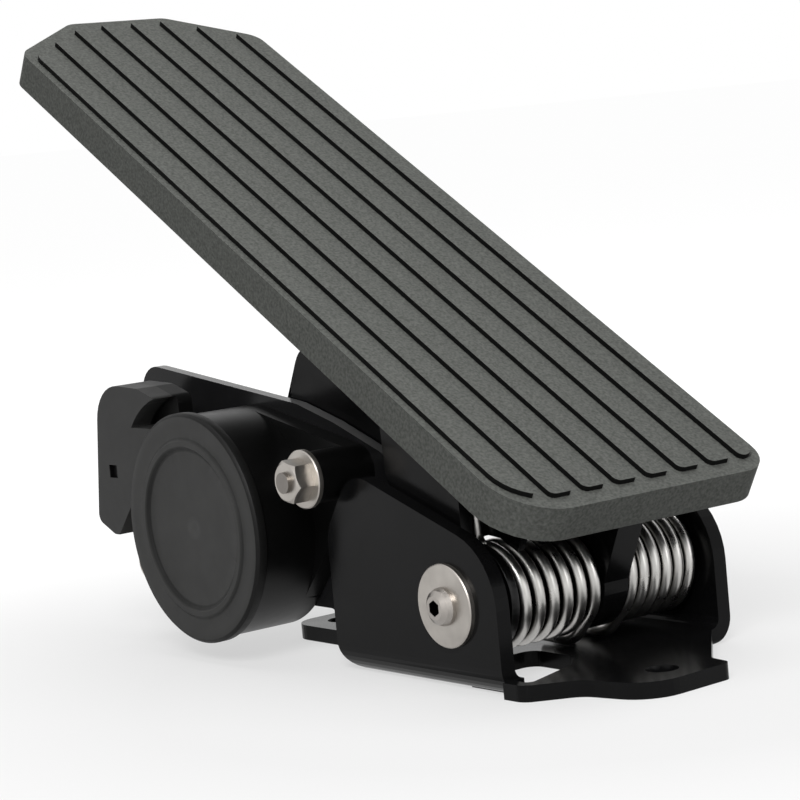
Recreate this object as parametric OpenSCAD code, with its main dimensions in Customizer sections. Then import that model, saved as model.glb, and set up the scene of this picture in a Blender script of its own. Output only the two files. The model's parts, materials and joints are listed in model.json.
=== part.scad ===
// Floor-mounted accelerator pedal: a ribbed treadle on a sprung heel hinge,
// and a rotary position sensor that a shaped cam under the treadle drives.
// Millimetres. X runs across the pedal, Y from the heel to the toe, and Z is up.
// The origin lies on the floor, straight below the middle of the hinge axis.

/* [Treadle] */
// Width of the treadle, across the pedal
treadle_w = 90; // [84:1:104]
// Length of the treadle, from heel to toe
treadle_l = 282; // [240:1:310]
// Angle of the treadle above the floor when it is released
tilt = 30.4; // [27:0.2:34]
// Travel of the treadle, from released to fully pressed
travel = 15; // [8:0.5:15]
// Thickness of the rubber pad above the steel plate
pad_t = 8; // [6:0.5:10]
// Thickness of the steel treadle plate
plate_t = 3; // [2:0.5:4]
// Width of the pad's rim around the steel plate
pad_rim = 3; // [2:0.5:5]
// Depth of the pad's rim around the steel plate
rim_drop = 2.3; // [1:0.1:4]
// Radius of the left heel corner
heel_r = 18; // [8:1:24]
// Radius of the right heel corner
heel_r_right = 10; // [8:1:24]
// Middle of the treadle, measured from the middle of the pedal
treadle_x = -3; // [-4:0.5:0]
// Reach of each toe chamfer, across the treadle
toe_cut_x = 27; // [15:1:34]
// Reach of each toe chamfer, along the treadle
toe_cut_u = 17; // [10:1:24]
// Radius that rounds the corners of the toe
toe_r = 7; // [3:0.5:10]

/* [Ribs] */
// Number of raised ribs along the treadle
rib_count = 8; // [5:1:8]
// Width of one rib
rib_w = 6.5; // [4:0.25:7]
// Height of a rib above the pad
rib_h = 1.5; // [1:0.1:3]
// Bare edge beside the outer ribs
rib_side = 2.4; // [2:0.2:6]
// Bare edge at the ends of the ribs
rib_end = 5; // [3:0.5:10]
// Radius of a rib's corner at the heel
rib_r = 2; // [0.5:0.25:3]

/* [Hinge] */
// Height of the hinge axis above the floor
pivot_h = 23.5; // [23:0.25:26]
// Distance from the hinge axis up to the pad's upper face
pivot_drop = 45.1; // [44:0.1:48]
// Distance from the hinge axis back to the heel, along the treadle
heel_back = 22.8; // [18:0.2:28]
// Radius of the hinge shaft
shaft_r = 6; // [5:0.25:6.5]
// Running clearance between a shaft and its bush
run_gap = 0.05; // [0.02:0.01:0.09]
// Wall of a bush
bush_wall = 2; // [1:0.25:2.5]
// Thickness of a bush's flange
bush_flange_t = 0.9; // [0.5:0.1:1]
// Thickness of the ear beside the left cheek
ear_t = 4; // [3:0.25:4.5]
// Radius of the ear around the hinge axis
ear_r = 12.5; // [11:0.25:14]
// Reach of the ear along the saddle plate
ear_reach = 53; // [48:0.5:56]
// Thickness of the saddle plate under the treadle
saddle_t = 3.5; // [2.5:0.25:4]
// Gap between the saddle plate and the cheeks' inner faces
saddle_side = 1; // [0.5:0.1:3]
// Reach of the saddle plate from the hinge axis towards the toe
saddle_reach = 110; // [108:1:130]
// Reach of the saddle plate from the hinge axis towards the heel
saddle_heel = 14; // [8:1:18]
// Width of the middle lug between the springs
lug_w = 9; // [7:0.5:10]
// Left face of the middle lug, measured from the middle of the pedal
lug_x = 1; // [-2:0.5:3]
// Radius of the middle lug around the hinge axis
lug_r = 13.5; // [11:0.25:14]
// Thickness of the wing that hangs beside the sensor bracket
wing_t = 2.5; // [2:0.1:2.6]
// Reach of the wing from the hinge axis towards the toe
wing_reach = 105.5; // [96:0.5:107]
// Side gap between pieces that move past each other
side_gap = 0.3; // [0.2:0.05:0.5]

/* [Springs] */
// Diameter of the spring wire
wire_d = 3.5; // [2.5:0.1:3.6]
// Outer diameter of the springs
spring_od = 30.5; // [28:0.5:31]
// Full turns of the left spring, besides the part turn between its legs
turns_left = 5; // [3:1:5]
// Full turns of the right spring, besides the part turn between its legs
turns_right = 5; // [2:1:5]
// Radius of the guide tubes inside the springs
guide_r = 9.5; // [8:0.25:10]
// Radius of the left guide's flange
guide_flange_r = 15; // [12:0.5:15.5]
// Thickness of the left guide's flange
guide_flange_t = 2.8; // [1.5:0.1:4]
// Distance of the upright leg behind the hinge axis
leg_y = 3.4; // [3:0.2:6]
// Length of each leg that lies flat
leg_l = 13; // [8:1:18]

/* [Base bracket] */
// Thickness of the folded steel sheet
sheet_t = 4.5; // [3.5:0.25:5]
// Outer width over the two cheeks
bracket_w = 83; // [82.5:0.5:86]
// Inner radius of the folds
fold_r = 3; // [2:0.25:4]
// Radius of the cheeks around the hinge axis
cheek_r = 20.5; // [18:0.5:22]
// Length of the cheeks behind the hinge axis
cheek_rear = 53.5; // [48:0.5:60]
// Slope of the cheeks' upper edge
cheek_slope = 18; // [14:0.5:20]
// Angle of the cheeks' rear shoulder, which clears the sensor's front boss
cheek_shoulder = 54; // [46:1:60]
// Gap between the cheeks' shoulder and the boss
shoulder_gap = 1.1; // [0.6:0.1:2]
// Length of the floor plate behind the hinge axis
floor_rear = 109; // [106:1:118]
// Left edge of the floor plate behind the cheeks, measured from the cheeks' inner face
floor_inset = 17.5; // [14:0.5:19]
// Radius of the floor bolt holes
bolt_hole_r = 4.5; // [3.5:0.1:5]
// Place of the front bolt hole, across
front_bolt_x = -8; // [-12:0.5:0]
// Place of the front bolt hole, ahead of the hinge axis
front_bolt_y = 46; // [42:0.5:50]
// Distance between the two rear bolt holes
rear_bolt_gap = 34; // [28:1:36]
// Middle of the two rear bolt holes, right of the middle of the pedal
rear_bolt_x = 9; // [7:0.5:10]
// Place of the rear bolt holes, behind the hinge axis
rear_bolt_y = 98; // [95:1:99]

/* [Sensor] */
// Place of the sensor's shaft behind the hinge axis
sensor_y = 101.9; // [100:0.1:104]
// Height of the sensor's shaft above the floor
sensor_z = 40.1; // [39:0.1:43]
// Gap between the left cheek and the upright sensor bracket
web_gap = 8; // [7:0.5:9]
// Thickness of the sensor bracket
web_t = 3.5; // [3:0.25:4]
// Length of the sensor bracket ahead of the sensor's shaft
web_front = 63; // [60:0.5:65]
// Height of the sensor bracket's upper edge above the sensor's shaft
web_top = 43.5; // [42:0.5:46]
// Height of the sensor bracket's lower edge above its foot
web_lift = 9.5; // [8:0.5:11]
// Length of the sensor bracket's foot
foot_l = 25; // [24:0.5:28]
// Width of the sensor bracket's foot
foot_w = 22; // [20:0.5:24]
// Radius of the housing
housing_r = 33.2; // [28:0.2:34]
// Length of the housing, from the bracket to its rim
housing_l = 22.8; // [20:0.2:26]
// Wall of the housing
housing_wall = 3; // [2:0.25:4]
// Thickness of the housing's back wall
housing_back = 5; // [4:0.25:7]
// Distance from the sensor's shaft to each mounting stud
stud_pitch = 52; // [46:0.5:54]
// Angle of the front mounting stud about the sensor's shaft
stud_angle = 162; // [156:1:166]
// Radius of the mounting bosses
boss_r = 7.5; // [7:0.25:8]
// Length of the front mounting boss, which reaches past the cheek
boss_l = 18.5; // [16:0.5:19]
// Thickness of the housing's mounting ears
ear_flange_t = 6; // [4:0.5:7]
// Overhang of the cap around the housing
cap_lip = 1; // [0.4:0.1:1.5]
// Thickness of the cap
cap_t = 3.4; // [2.4:0.2:5]
// Thickness of the seal under the cap
seal_t = 0.8; // [0.5:0.1:1.5]
// Radius of the sensor's shaft
rotor_r = 5; // [4:0.25:6]
// Thickness of the circuit board
board_t = 1.6; // [1:0.2:2.4]
// Radius of the magnet on the shaft's end
magnet_r = 8; // [5:0.5:10]
// Thickness of the magnet
magnet_t = 4; // [2:0.5:6]

/* [Sensor lever] */
// Turn of the sensor's shaft for each degree of the treadle
lever_ratio = 2.6; // [2.4:0.05:2.8]
// Angle of the lever above the floor when the treadle is released
lever_angle = 115; // [112:0.5:118]
// Length of the lever, from shaft to roller
lever_l = 45; // [43:0.5:46]
// Thickness of the lever
lever_t = 5; // [3:0.25:6]
// Radius of the lever's hub
hub_r = 11; // [9:0.5:13]
// Length of the lever's hub
hub_l = 10; // [7:0.5:12]
// Radius of the lever's tip
tip_r = 8.5; // [6:0.25:9]
// Radius of the roller
roller_r = 8; // [6:0.25:8.5]
// Width of the roller
roller_w = 10; // [6:0.5:12]
// Radius of the roller's pin
pin_r = 2.5; // [2:0.1:3]
// Gap between the roller and the cam
cam_gap = 0.3; // [0.2:0.05:0.5]
// Width of the cam
cam_w = 9; // [6:0.5:12]

/* [Connector] */
// Width of the connector block
block_w = 13; // [12:0.5:16]
// Reach of the connector block past the housing
block_reach = 29; // [27:0.5:31]
// Lower face of the connector block, below the sensor's shaft
block_drop = 6; // [4:0.5:8]
// Height of the connector block
block_h = 47; // [44:0.5:48]
// Lean of the connector block's rear face
block_lean = 7; // [4:0.5:9]
// Radius of the connector block's upper rear corner
block_round = 13; // [8:0.5:15]
// Radius of the curved recess between the connector block and the housing
recess_r = 28.4; // [26:0.2:29]
// Wall around the socket
socket_wall = 2.2; // [1.8:0.1:3]
// Depth of the socket
socket_depth = 19; // [14:0.5:20]
// Number of contact pins in each of the two columns
pin_rows = 3; // [2:1:4]
// Distance between the pins of a column
pin_pitch = 6; // [4:0.5:6.5]
// Length of the contact pins in the socket
pin_l = 7; // [5:0.5:10]
// Distance between the two columns of pins
pin_gap = 4; // [3:0.25:5]

/* [Fasteners] */
// Radius of the mounting studs and bracket screws
stud_r = 3; // [2.5:0.1:3.5]
// Width of the hexagon nuts across their flats
nut_af = 11; // [9:0.5:13]
// Height of the hexagon nuts
nut_h = 5.5; // [4:0.5:7]
// Thickness of the washers
washer_t = 1.6; // [1:0.1:2.5]
// Radius of the washers under the nuts
washer_r = 8.4; // [6.5:0.2:9]
// Radius of the washers on the hinge
pivot_washer_r = 11.5; // [9:0.25:13]
// Radius of the hinge bolts' heads
bolt_head_r = 5.25; // [4.5:0.25:6.5]
// Height of the hinge bolts' heads
bolt_head_h = 3.3; // [2.5:0.1:4.5]
// Width of the hexagon socket in the bolt heads
socket_af = 4; // [3:0.5:5]
// Thread length of the hinge bolts in the shaft
thread_l = 12; // [8:1:16]

/* [Hidden] */
$fn = 64;

// Overshoot of a cut past the face that it opens
over = 1;
// Straight pieces in a rounded corner
corner_steps = 8;

pad_top = pivot_drop;
plate_low = pad_top - pad_t - plate_t;
saddle_low = plate_low - saddle_t;
inner_x = bracket_w / 2 - sheet_t;
bush_r = shaft_r + run_gap + bush_wall;
ear_x = -inner_x + bush_flange_t + 0.1;
guide_x = ear_x + ear_t + side_gap;
saddle_x = inner_x - saddle_side;
web_x = inner_x - web_gap;
cap_r = housing_r + cap_lip;
wire_r = wire_d / 2;
coil_r = spring_od / 2 - wire_r;
lug_end = lug_x + lug_w;
cavity_r = housing_r - housing_wall;
rim_x = -web_x - housing_l;
rear_stud_angle = stud_angle + 180;
// Each mounting stud, as its angle and its boss's length
stud_places = [[stud_angle, boss_l], [rear_stud_angle, ear_flange_t]];
boss_spot = [sensor_y, sensor_z] + stud_pitch * [cos(stud_angle), sin(stud_angle)];
stud_hole_r = stud_r + 0.2;
wing_x = -web_x + web_t + 0.5;
lever_x = wing_x + wing_t + 0.5;
roller_x = lever_x + lever_t + side_gap;
pin_x = lever_x + 1.5;
block_x = rim_x + 1.3;
block_front = sensor_y + housing_r * 0.66;
block_back = sensor_y + housing_r + block_reach;
block_low = sensor_z - block_drop;
floor_left = inner_x - floor_inset;
screw_x = foot_w - 2 * stud_r - web_x;
steel = [0.72, 0.71, 0.69];
black_paint = [0.13, 0.13, 0.14];

function unit(v) = v / norm(v);

// One rounded corner between two straight sides
function corner_arc(before, corner, after, r) =
    let (
        u = unit(before - corner),
        v = unit(after - corner),
        half = acos(u * v) / 2,
        centre = corner + unit(u + v) * r / sin(half),
        from = corner + u * r / tan(half) - centre,
        to = corner + v * r / tan(half) - centre,
        start = atan2(from.y, from.x),
        sweep = atan2(from.x * to.y - from.y * to.x, from * to)
    )
    [for (k = [0:corner_steps]) let (a = start + sweep * k / corner_steps)
        centre + r * [cos(a), sin(a)]];

// An outline with each corner given as [x, y, radius]
function rounded(corners) =
    let (n = len(corners))
    [for (i = [0:n - 1])
        let (
            before = corners[(i + n - 1) % n],
            here = corners[i],
            after = corners[(i + 1) % n],
            spot = [here.x, here.y]
        )
        each here.z > 0
            ? corner_arc([before.x, before.y], spot, [after.x, after.y], here.z)
            : [spot]];

// A polyline in space whose inner corners are eased by curves of the given reach
function eased(corners, reach) =
    let (last = len(corners) - 1)
    [corners[0],
        for (i = [1:last - 1])
            let (
                from = corners[i] + unit(corners[i - 1] - corners[i]) * reach,
                to = corners[i] + unit(corners[i + 1] - corners[i]) * reach
            )
            for (k = [0:4]) let (s = k / 4)
                (1 - s) * (1 - s) * from + 2 * s * (1 - s) * corners[i] + s * s * to,
        corners[last]];

// The straight sides that join a large circle to a small one beside it
function taper(r1, r2, gap) =
    let (a = acos((r1 - r2) / gap), c = cos(a), s = sin(a))
    [[r1 * c, r1 * s], [gap + r2 * c, r2 * s], [gap + r2 * c, -r2 * s], [r1 * c, -r1 * s]];

// The treadle's outline, drawn in from its sides and from its ends
function treadle_outline(side, ends) =
    let (
        w = treadle_w / 2 - side,
        low = ends,
        high = treadle_l - ends,
        line = (treadle_w / 2) / toe_cut_x + (treadle_l - toe_cut_u) / toe_cut_u
            - max(side, ends) * norm([1 / toe_cut_x, 1 / toe_cut_u]),
        shoulder = toe_cut_u * (line - w / toe_cut_x),
        toe = toe_cut_x * (line - high / toe_cut_u),
        inset = max(side, ends)
    )
    rounded([[-w, low, heel_r - inset], [w, low, heel_r_right - inset], [w, shoulder, toe_r],
        [toe, high, toe_r], [-toe, high, toe_r], [-w, shoulder, toe_r]]);

// Carries a treadle piece from the hinge axis to its released position
module on_treadle() {
    translate([0, 0, pivot_h])
        rotate([tilt, 0, 0])
            children();
}

// Carries a sensor piece to the sensor's shaft
module on_sensor() {
    translate([0, sensor_y, sensor_z])
        children();
}

// Carries a lever piece to the sensor's shaft, with the lever's length along Y
module on_lever() {
    on_sensor()
        rotate([lever_angle, 0, 0])
            children();
}

// A plate across the pedal, drawn as a side view
module across(from, to) {
    translate([from, 0, 0])
        rotate([90, 0, 90])
            linear_extrude(to - from)
                children();
}

// A round bar across the pedal
module rod(from, to, r) {
    translate([from, 0, 0])
        rotate([0, 90, 0])
            cylinder(h = to - from, r = r);
}

// A turned piece whose axis runs across the pedal, drawn as [radius, distance to the left]
module turned_left(profile) {
    rotate([0, -90, 0])
        rotate_extrude()
            polygon(profile);
}

module pad_ribs() {
    pitch = (treadle_w - 2 * rib_side - rib_w) / (rib_count - 1);
    intersection() {
        linear_extrude(rib_h)
            polygon(treadle_outline(rib_side, rib_end));
        for (i = [0:rib_count - 1])
            translate([-treadle_w / 2 + rib_side + i * pitch, rib_end, 0])
                linear_extrude(rib_h)
                    polygon(rounded([[0, 0, rib_r], [rib_w, 0, 0], [rib_w, treadle_l, 0],
                        [0, treadle_l, 0]]));
    }
}

module treadle_pad() {
    color([0.38, 0.39, 0.37])
        on_treadle()
            translate([treadle_x, -heel_back, plate_low])
                difference() {
                    union() {
                        translate([0, 0, plate_t - rim_drop])
                            linear_extrude(pad_t + rim_drop)
                                polygon(treadle_outline(0, 0));
                        translate([0, 0, pad_t + plate_t])
                            pad_ribs();
                    }
                    translate([0, 0, -over])
                        linear_extrude(plate_t + over)
                            polygon(treadle_outline(pad_rim, pad_rim));
                }
}

// Places of the four screws that hold the treadle to the saddle
treadle_screw_x = saddle_x - 6;
treadle_screw_spots = [for (x = [-treadle_screw_x, treadle_screw_x],
    u = [ear_reach + 7, saddle_reach - 12]) [x, u]];
treadle_screw_r = 2.5;

module treadle_plate() {
    color(black_paint)
        on_treadle()
            difference() {
                translate([treadle_x, -heel_back, plate_low])
                    linear_extrude(plate_t)
                        polygon(treadle_outline(pad_rim, pad_rim));
                for (spot = treadle_screw_spots)
                    translate([spot.x, spot.y, plate_low - over])
                        cylinder(h = plate_t + 2 * over, r = treadle_screw_r);
            }
}

module treadle_screws() {
    head_h = 2;
    color(steel)
        on_treadle()
            for (spot = treadle_screw_spots)
                translate([spot.x, spot.y, saddle_low]) {
                    cylinder(h = saddle_t + plate_t, r = treadle_screw_r);
                    translate([0, 0, -head_h])
                        cylinder(h = head_h, r1 = treadle_screw_r + 0.9, r2 = treadle_screw_r + 1.9);
                }
}

// Side view of the ear, with its front edge upright when the treadle is released
module ear_outline() {
    front = -1.5;
    rise = saddle_low + 1;
    edge = [sin(tilt), cos(tilt)];
    foot = [front * cos(tilt), -front * sin(tilt)];
    union() {
        circle(r = ear_r);
        polygon([foot, foot + edge * (rise - foot.y) / edge.y, [ear_reach, rise],
            [ear_reach - 2.5, rise - 7], [ear_reach - 10, ear_r + 0.5],
            [ear_r * 0.6, -ear_r * 0.75]]);
    }
}

module lug_outline() {
    union() {
        circle(r = lug_r);
        polygon([[-lug_r, 0], [lug_r, 0], [lug_r + 8, saddle_low + 1],
            [2 - lug_r, saddle_low + 1]]);
    }
}

// Side view of the wing, whose free end is rounded
module wing_outline() {
    rise = saddle_low + 1;
    front = ear_reach - 7;
    polygon(rounded([[front - 6, 10, 4], [wing_reach - 1.5, -2, 5], [wing_reach, 19, 9],
        [wing_reach - 22, 22, 6], [wing_reach - 27, rise, 0], [front, rise, 0]]));
}

module hinge_bracket() {
    color(black_paint)
        on_treadle()
            difference() {
                union() {
                    translate([0, 0, saddle_low])
                        linear_extrude(saddle_t)
                            polygon(rounded([[-saddle_x, -saddle_heel, 6], [saddle_x, -saddle_heel, 6],
                                [saddle_x, saddle_reach, 10], [-saddle_x, saddle_reach, 10]]));
                    across(ear_x, ear_x + ear_t)
                        ear_outline();
                    across(lug_x, lug_end)
                        lug_outline();
                    across(wing_x, wing_x + wing_t)
                        wing_outline();
                }
                rod(ear_x - over, ear_x + ear_t + over, bush_r);
                rod(lug_x - over, lug_end + over, bush_r);
                for (spot = treadle_screw_spots)
                    translate([spot.x, spot.y, saddle_low - over])
                        cylinder(h = saddle_t + 2 * over, r = treadle_screw_r);
            }
}

module hinge_bush_left() {
    color([0.62, 0.5, 0.3])
        translate([0, 0, pivot_h])
            difference() {
                union() {
                    rod(ear_x, ear_x + ear_t, bush_r);
                    rod(ear_x - bush_flange_t, ear_x, bush_r + 2.5);
                }
                rod(ear_x - bush_flange_t - over, ear_x + ear_t + over, shaft_r + run_gap);
            }
}

module hinge_bush_middle() {
    color([0.62, 0.5, 0.3])
        translate([0, 0, pivot_h])
            difference() {
                rod(lug_x, lug_end, bush_r);
                rod(lug_x - over, lug_end + over, shaft_r + run_gap);
            }
}

// Centre of the roller, seen from the treadle, after the given travel
function roller_spot(press) =
    let (
        lever = lever_angle + lever_ratio * press,
        y = sensor_y + lever_l * cos(lever),
        z = sensor_z - pivot_h + lever_l * sin(lever),
        slope = tilt - press
    )
    [y * cos(slope) + z * sin(slope), z * cos(slope) - y * sin(slope)];

// Point of the cam's face that the roller follows after the given travel
function cam_spot(press) =
    let (
        step = 0.1,
        along = unit(roller_spot(press + step) - roller_spot(press - step))
    )
    roller_spot(press) + (roller_r + cam_gap) * [along.y, -along.x];

module actuator_cam() {
    lead = 1.5;
    face = [for (k = [0:20]) cam_spot((travel + 2 * lead) * k / 20 - lead)];
    heel_u = face[20].x - 3;
    toe_u = face[0].x + 2;
    color([0.2, 0.2, 0.2])
        on_treadle()
            across(roller_x + (roller_w - cam_w) / 2, roller_x + (roller_w + cam_w) / 2)
                polygon(concat(face, [[heel_u, saddle_low], [toe_u, saddle_low],
                    [toe_u, face[0].y]]));
}

// Side view of the cheeks, from the floor up
module cheek_outline() {
    s = cheek_slope;
    front_h = pivot_h + cheek_r * cos(s) - cheek_r * (1 - sin(s)) * tan(s);
    facing = [sin(cheek_shoulder), cos(cheek_shoulder)];
    reach = boss_spot * facing - boss_r - shoulder_gap;
    shoulder_h = (reach - cheek_rear * facing.x) / facing.y;
    peak_y = (reach - facing.y * (front_h + cheek_r * tan(s))) / (facing.x + facing.y * tan(s));
    peak_h = front_h + (peak_y + cheek_r) * tan(s);
    polygon(rounded([[-cheek_r, 0, 1.5], [cheek_rear, 0, 9], [cheek_rear, shoulder_h, 12],
        [peak_y, peak_h, 11], [-cheek_r, front_h, cheek_r]]));
}

// End view of the folded channel
module channel_section() {
    out = bracket_w / 2;
    high = 80;
    turn = fold_r + sheet_t;
    polygon(rounded([[-out, 0, turn], [out, 0, turn], [out, high, 0], [inner_x, high, 0],
        [inner_x, sheet_t, fold_r], [-inner_x, sheet_t, fold_r], [-inner_x, high, 0],
        [-out, high, 0]]));
}

// Plan of the front tongue, which carries the front bolt hole
module tongue_outline() {
    x = front_bolt_x;
    tip = -front_bolt_y - 13.5;
    out = bracket_w / 2;
    polygon(rounded([[-inner_x + 1, 0, 0], [-inner_x + 1, -cheek_r, 0], [-out, -cheek_r, 0],
        [-out, -cheek_r - 8, 5],
        [x - 20, -front_bolt_y + 9, 8], [x - 15, tip + 1, 12], [x + 15, tip + 3, 3],
        [x + 16, -front_bolt_y - 2, 4], [inner_x - 3, -cheek_r, 0],
        [inner_x - 3, 0, 0]]));
}

// Plan of the window between the left cheek's foot and the tongue
module window_outline() {
    beside = fold_r - inner_x;
    ahead = -inner_x - 1;
    right = front_bolt_x - 1;
    polygon(rounded([[ahead, -cheek_r - 7, 2], [right - 8, -cheek_r + 1, 6],
        [right, -cheek_r + 9, 4], [right, ear_r / 2, 4], [beside, ear_r / 2, 3],
        [beside, -cheek_r - 0.5, 1], [ahead, -cheek_r - 0.5, 1]]));
}

module floor_outline() {
    polygon(rounded([[-floor_left, 0, 0], [inner_x, 0, 0], [inner_x, floor_rear, 8],
        [-floor_left, floor_rear, 8]]));
}

module floor_bolt_holes() {
    translate([front_bolt_x, -front_bolt_y, -over])
        cylinder(h = sheet_t + 2 * over, r = bolt_hole_r);
    for (side = [-1, 1])
        translate([rear_bolt_x + side * rear_bolt_gap / 2, rear_bolt_y, -over])
            cylinder(h = sheet_t + 2 * over, r = bolt_hole_r);
}

module base_bracket() {
    out = bracket_w / 2;
    color(black_paint)
        difference() {
            union() {
                intersection() {
                    translate([0, cheek_rear, 0])
                        rotate([90, 0, 0])
                            linear_extrude(cheek_rear + cheek_r)
                                channel_section();
                    across(-out, out)
                        cheek_outline();
                }
                linear_extrude(sheet_t)
                    tongue_outline();
                linear_extrude(sheet_t)
                    floor_outline();
            }
            translate([0, 0, pivot_h])
                rod(-out - over, out + over, stud_hole_r);
            floor_bolt_holes();
            translate([0, 0, -over])
                linear_extrude(sheet_t + 2 * over)
                    window_outline();
            bracket_screw_places(-over)
                cylinder(h = sheet_t + 2 * over, r = stud_r);
        }
}

// Puts a piece on each of the two screws that hold the sensor bracket down
module bracket_screw_places(z) {
    for (y = [cheek_rear - 4, cheek_rear + 9])
        translate([screw_x, y, z])
            children();
}

// Side view of the upright sensor bracket, measured from the sensor's shaft
module web_outline() {
    low = sheet_t - sensor_z;
    foot_end = cheek_rear - 10 + foot_l - sensor_y;
    rear = stud_pitch * cos(rear_stud_angle) + boss_r + 4.5;
    polygon(rounded([[-web_front, low, 0], [-web_front, web_top - 23, 5],
        [-web_front + 24, web_top - 14.5, 12], [-web_front + 42, web_top - 9.5, 20],
        [rear + 2.5, web_top + 1.3, 9], [rear, low + web_lift, 9],
        [foot_end + 2, low + web_lift, 3], [foot_end, low, 0]]));
}

module sensor_bracket() {
    turn = web_t + 1.5;
    high = web_top + sensor_z;
    deep = sensor_y * 2;
    color(black_paint)
        difference() {
            intersection() {
                translate([-web_x, deep, sheet_t])
                    rotate([90, 0, 0])
                        linear_extrude(deep)
                            polygon(rounded([[0, 0, turn], [foot_w, 0, 0], [foot_w, web_t, 0],
                                [web_t, web_t, 1.5], [web_t, high, 0], [0, high, 0]]));
                union() {
                    on_sensor()
                        across(-web_x, -web_x + web_t)
                            web_outline();
                    translate([-web_x, cheek_rear - 10, 0])
                        cube([foot_w, foot_l, sheet_t + turn]);
                }
            }
            on_sensor() {
                rod(-web_x - over, -web_x + web_t + over, rotor_r + 2.5);
                for (place = stud_places)
                    rotate([place[0], 0, 0])
                        translate([0, stud_pitch, 0])
                            rod(-web_x - over, -web_x + web_t + over, stud_r);
            }
            bracket_screw_places(sheet_t - over)
                cylinder(h = web_t + 2 * over, r = stud_r);
        }
}

// A hexagon piece standing along Z, with eased corners
module hexagon(af, h) {
    r = af / 2 / cos(30);
    ease = 0.8;
    intersection() {
        cylinder(h = h, r = r, $fn = 6);
        union() {
            cylinder(h = h - ease, r = r + over);
            translate([0, 0, h - ease])
                cylinder(h = ease, r1 = r, r2 = r - 1.4 * ease);
        }
    }
}

module bracket_screws() {
    color(steel)
        bracket_screw_places(0) {
            cylinder(h = sheet_t + web_t, r = stud_r);
            translate([0, 0, sheet_t + web_t])
                cylinder(h = washer_t, r = stud_r * 1.95);
            translate([0, 0, sheet_t + web_t + washer_t])
                hexagon(nut_af - 1, nut_h - 1.5);
        }
}

module pivot_shaft() {
    color(steel)
        translate([0, 0, pivot_h])
            difference() {
                rod(-inner_x, inner_x, shaft_r);
                rod(-inner_x - over, -inner_x + thread_l + 2, stud_r);
                rod(inner_x - thread_l - 2, inner_x + over, stud_r);
            }
}

// The left hinge bolt, from the middle of the pedal outwards
module pivot_bolt() {
    out = bracket_w / 2 + washer_t;
    tip = inner_x - thread_l;
    color(steel)
        translate([0, 0, pivot_h])
            difference() {
                turned_left([[0, tip], [stud_r, tip], [stud_r, out], [bolt_head_r, out],
                    [bolt_head_r, out + 0.9], [bolt_head_r - 0.6, out + bolt_head_h - 1],
                    [bolt_head_r - 2, out + bolt_head_h], [0, out + bolt_head_h]]);
                translate([-out - bolt_head_h - over, 0, 0])
                    rotate([0, 90, 0])
                        cylinder(h = bolt_head_h - 1 + over, r = socket_af / 2 / cos(30), $fn = 6);
            }
}

module pivot_washer() {
    out = bracket_w / 2;
    ease = 0.3;
    color(steel)
        translate([0, 0, pivot_h])
            turned_left([[stud_hole_r, out], [pivot_washer_r, out],
                [pivot_washer_r, out + washer_t - ease],
                [pivot_washer_r - ease, out + washer_t], [stud_hole_r, out + washer_t]]);
}

module pivot_bolt_left() {
    pivot_bolt();
}

module pivot_bolt_right() {
    mirror([1, 0, 0])
        pivot_bolt();
}

module pivot_washer_left() {
    pivot_washer();
}

module pivot_washer_right() {
    mirror([1, 0, 0])
        pivot_washer();
}

module spring_guide_left() {
    tube_end = lug_x - side_gap;
    color([0.1, 0.1, 0.1])
        translate([0, 0, pivot_h])
            difference() {
                union() {
                    rod(guide_x, guide_x + guide_flange_t, guide_flange_r);
                    rod(guide_x, tube_end, guide_r);
                }
                rod(guide_x - over, tube_end + over, shaft_r + run_gap);
            }
}

module spring_guide_right() {
    color([0.1, 0.1, 0.1])
        translate([0, 0, pivot_h])
            difference() {
                rod(lug_end + side_gap, inner_x - side_gap, guide_r);
                rod(lug_end, inner_x, shaft_r + run_gap);
            }
}

// Middle line of a torsion spring, from the leg under the treadle to the leg on the floor plate
function spring_line(x_leg, x_foot, turns) =
    let (
        n = saddle_low - wire_r - side_gap,
        u = (leg_y + n * sin(tilt)) / cos(tilt),
        leg_z = u * sin(tilt) + n * cos(tilt),
        foot_z = sheet_t + wire_r + side_gap - pivot_h,
        leave = 225,
        off = [coil_r * cos(leave), coil_r * sin(leave)],
        foot_y = off.x + off.y - foot_z,
        sweep = leave - 90 + 360 * turns,
        steps = round(sweep / 18)
    )
    concat(
        eased([[x_leg, leg_y + leg_l * cos(tilt), leg_z + leg_l * sin(tilt)],
            [x_leg, leg_y, leg_z], [x_leg, leg_y, coil_r], [x_leg, 0, coil_r]], 4),
        [for (k = [1:steps - 1]) let (a = 90 + sweep * k / steps)
            [x_leg + (x_foot - x_leg) * k / steps, coil_r * cos(a), coil_r * sin(a)]],
        eased([[x_foot, off.x, off.y], [x_foot, foot_y, foot_z],
            [x_foot, foot_y + leg_l, foot_z]], 4)
    );

// A wire along a line of points
module wire(line) {
    sides = 8;
    last = len(line) - 1;
    points = [for (i = [0:last])
        let (
            along = unit(line[min(i + 1, last)] - line[max(i - 1, 0)]),
            out = unit(cross(along, [1, 0, 0])),
            up = cross(along, out)
        )
        for (k = [0:sides - 1]) let (a = 360 * k / sides)
            line[i] + wire_r * (cos(a) * out + sin(a) * up)];
    skin = [for (i = [0:last - 1], k = [0:sides - 1])
        let (next = (k + 1) % sides)
        [i * sides + k, i * sides + next, (i + 1) * sides + next, (i + 1) * sides + k]];
    start = [for (k = [sides - 1:-1:0]) k];
    end = [for (k = [0:sides - 1]) last * sides + k];
    polyhedron(points, concat(skin, [start, end]), convexity = 10);
}

module torsion_spring_left() {
    from = guide_x + guide_flange_t + wire_r + 0.05;
    to = lug_x - wire_r - 0.05;
    color(steel)
        translate([0, 0, pivot_h])
            wire(spring_line(from, to, turns_left));
}

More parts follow.
